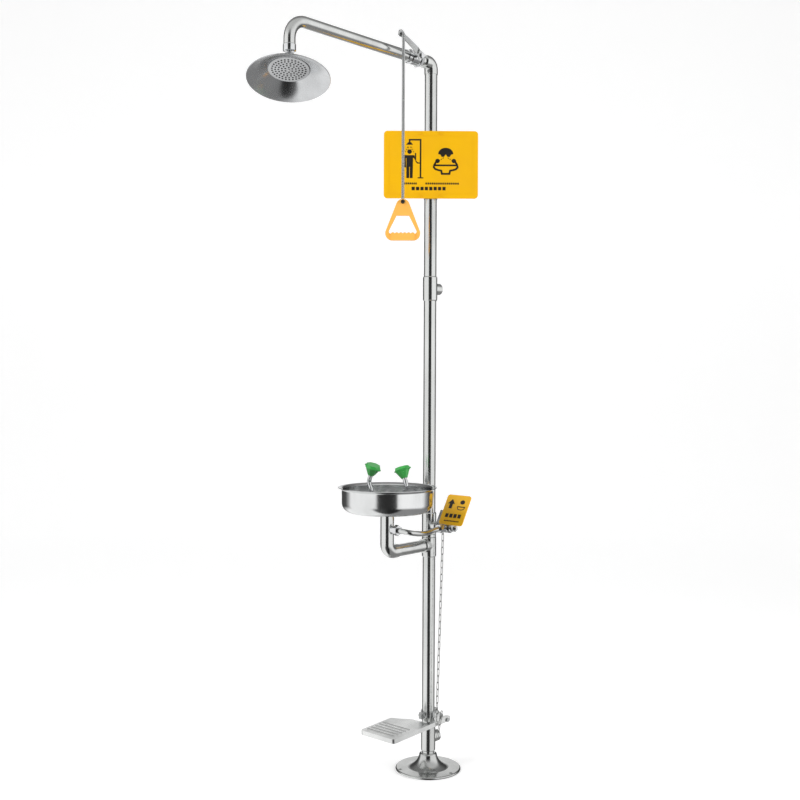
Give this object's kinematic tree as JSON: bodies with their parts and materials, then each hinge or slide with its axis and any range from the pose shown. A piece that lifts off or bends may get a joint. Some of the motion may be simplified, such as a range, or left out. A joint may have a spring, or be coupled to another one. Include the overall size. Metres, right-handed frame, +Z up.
{
  "type": "emergency shower and eyewash station",
  "caption": "Floor-standing stainless emergency station: overhead drench shower on a pull rod, and an eyewash bowl worked by a push plate or a foot pedal.",
  "frame": {"origin": "centre of the base flange's underside, on the post's axis", "axes": "+Z up along the post; the arm and bowl reach toward -Y; the eyewash valve and push plate are on +X; the water inlet and drain outlet face +Y"},
  "size_m": [0.304, 0.8516, 2.3167],
  "materials": {
    "base_steel": "satin",
    "polished_steel": "polished",
    "chromed_brass": "bright",
    "bowl_steel": "spun satin",
    "head_steel": "spun satin",
    "bracket_steel": "satin",
    "chain_steel": "bright",
    "pedal_steel": "matt pressed",
    "sign_yellow": "semi-gloss",
    "handle_plastic": "moulded",
    "green_plastic": "moulded",
    "rose_plastic": "matt",
    "seal_plastic": "matt"
  },
  "bodies": {
    "stand": {"base_flange": "base_steel", "base_neck": "polished_steel", "outlet_tee": "polished_steel", "drain_post": "polished_steel", "drain_tee": "polished_steel", "divider_plug": "polished_steel", "supply_tee": "polished_steel", "middle_post": "polished_steel", "inlet_tee": "polished_steel", "upper_post": "polished_steel", "top_elbow": "polished_steel", "arm_nipple": "polished_steel", "shower_valve_body": "chromed_brass", "shower_valve_nut": "chromed_brass", "valve_seats": "seal_plastic", "packing_nuts": "chromed_brass", "shower_arm": "polished_steel", "head_swivel_nut": "chromed_brass", "sign_panel": "sign_yellow", "sign_straps": "bracket_steel", "sign_screws": "sign_yellow", "hex_nuts": "bracket_steel", "bowl": "bowl_steel", "bowl_strainer": "bowl_steel", "drain_column": "polished_steel", "drain_pipe": "polished_steel", "feed_riser": "chromed_brass", "spray_manifold": "chromed_brass", "union_nuts": "chromed_brass", "feed_pipe": "polished_steel", "spray_tubes": "chromed_brass", "spray_heads": "green_plastic", "spray_roses": "rose_plastic", "supply_nipple": "chromed_brass", "eyewash_valve_body": "chromed_brass", "pedal_clamp_left": "bracket_steel", "pedal_clamp_right": "bracket_steel", "clamp_bolts": "bracket_steel", "pedal_pin": "bracket_steel"},
    "shower_lever": {"shower_ball": "chromed_brass", "shower_stem": "chromed_brass", "pull_lever": "bracket_steel", "shower_lever_nut": "chromed_brass"},
    "pull_rod": {"pull_rod": "bracket_steel", "rod_clips": "bracket_steel"},
    "pull_handle": {"pull_handle": "handle_plastic"},
    "head_ball": {"head_ball": "chromed_brass"},
    "shower_head": {"head_shell": "head_steel", "head_socket": "head_steel", "spray_plate": "head_steel", "plate_screw": "chromed_brass"},
    "push_lever": {"eyewash_ball": "chromed_brass", "eyewash_stem": "chromed_brass", "push_yoke": "bracket_steel", "push_plate": "sign_yellow", "yoke_nut": "chromed_brass"},
    "chain": {"chain": "chain_steel"},
    "pedal": {"pedal": "pedal_steel"},
    "right_cap": {"right_dust_cap": "green_plastic"},
    "left_cap": {"left_dust_cap": "green_plastic"}
  },
  "joints": [
    {"name": "shower_valve", "type": "hinge", "parent": "stand", "child": "shower_lever", "pos_m": [0.038, -0.09, 2.2586], "axis": [1, 0, 0], "range_deg": [0, 90]},
    {"name": "pull_rod_pivot", "type": "hinge", "parent": "shower_lever", "child": "pull_rod", "pos_m": [0.044, -0.18879, 2.30466], "axis": [1, 0, 0], "range_deg": [-90, 0]},
    {"name": "handle_swing", "type": "hinge", "parent": "pull_rod", "child": "pull_handle", "pos_m": [0.05595, -0.19778, 1.787], "axis": [0.6626, -0.749, 0], "range_deg": [-25, 25]},
    {"name": "head_turn", "type": "hinge", "parent": "stand", "child": "head_ball", "pos_m": [0, -0.616, 2.172], "axis": [0, 0, 1], "continuous": true},
    {"name": "head_tilt", "type": "hinge", "parent": "head_ball", "child": "shower_head", "pos_m": [0, -0.616, 2.151], "axis": [0.749, 0.6626, 0], "range_deg": [-4.4, 43]},
    {"name": "pedal_pivot", "type": "hinge", "parent": "stand", "child": "pedal", "pos_m": [0.0378, 0.04, 0.157], "axis": [1, 0, 0], "range_deg": [0, 25]},
    {"name": "eyewash_valve", "type": "hinge", "parent": "stand", "child": "push_lever", "pos_m": [0.077, 0, 0.78], "axis": [-1, 0, 0], "range_deg": [0, 90]},
    {"name": "chain_hang", "type": "hinge", "parent": "push_lever", "child": "chain", "pos_m": [0.046, 0.01541, 0.78719], "axis": [-1, 0, 0], "range_deg": [-90, 0]},
    {"name": "right_cap_hinge", "type": "hinge", "parent": "stand", "child": "right_cap", "pos_m": [0.0861, -0.2, 0.98253], "axis": [0, 1, 0], "range_deg": [0, 105]},
    {"name": "left_cap_hinge", "type": "hinge", "parent": "stand", "child": "left_cap", "pos_m": [-0.0861, -0.2, 0.98253], "axis": [0, -1, 0], "range_deg": [0, 105]}
  ],
  "couplings": [
    {"joint": "pull_rod_pivot", "follows": "shower_valve", "ratio": -1},
    {"joint": "eyewash_valve", "follows": "pedal_pivot", "ratio": 3.6},
    {"joint": "chain_hang", "follows": "pedal_pivot", "ratio": -3.6}
  ]
}
